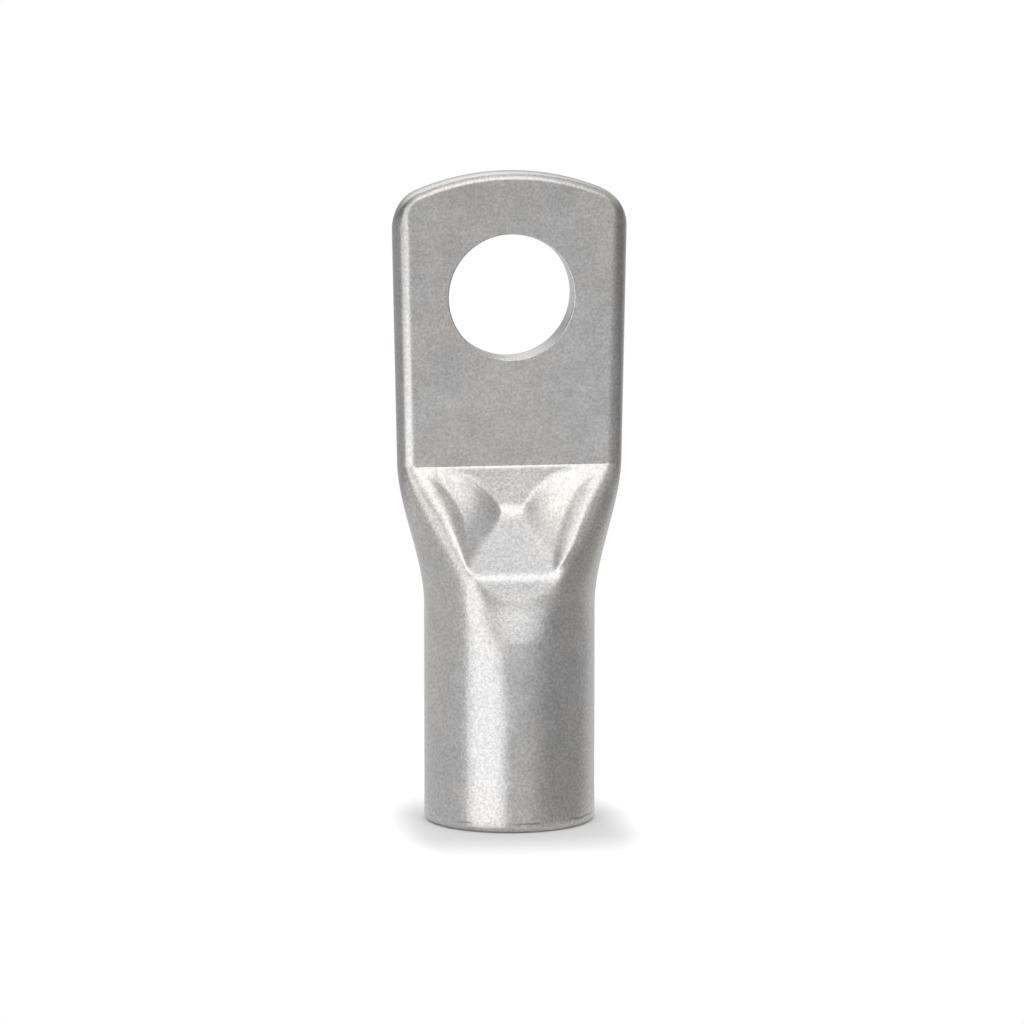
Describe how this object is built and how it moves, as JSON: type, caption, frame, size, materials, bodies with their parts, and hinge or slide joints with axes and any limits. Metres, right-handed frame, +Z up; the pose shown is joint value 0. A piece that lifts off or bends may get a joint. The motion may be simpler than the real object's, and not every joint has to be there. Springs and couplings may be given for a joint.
{
  "type": "cable lug",
  "caption": "Tinned copper tube lug with an open crimp barrel, a punched neck and a flat palm with a stud hole, standing on its barrel end.",
  "frame": {"origin": "centre of the barrel's open end, on the surface that the lug stands on", "axes": "+Z up along the barrel's axis towards the palm, +Y through the palm from its punched side to its plain side, X across the palm"},
  "size_m": [0.0198, 0.0142, 0.0548],
  "materials": {
    "tinned_copper": "satin tin plating on copper, with a fine matt grain"
  },
  "bodies": {
    "root": {"lug_body": "tinned_copper"}
  },
  "joints": []
}
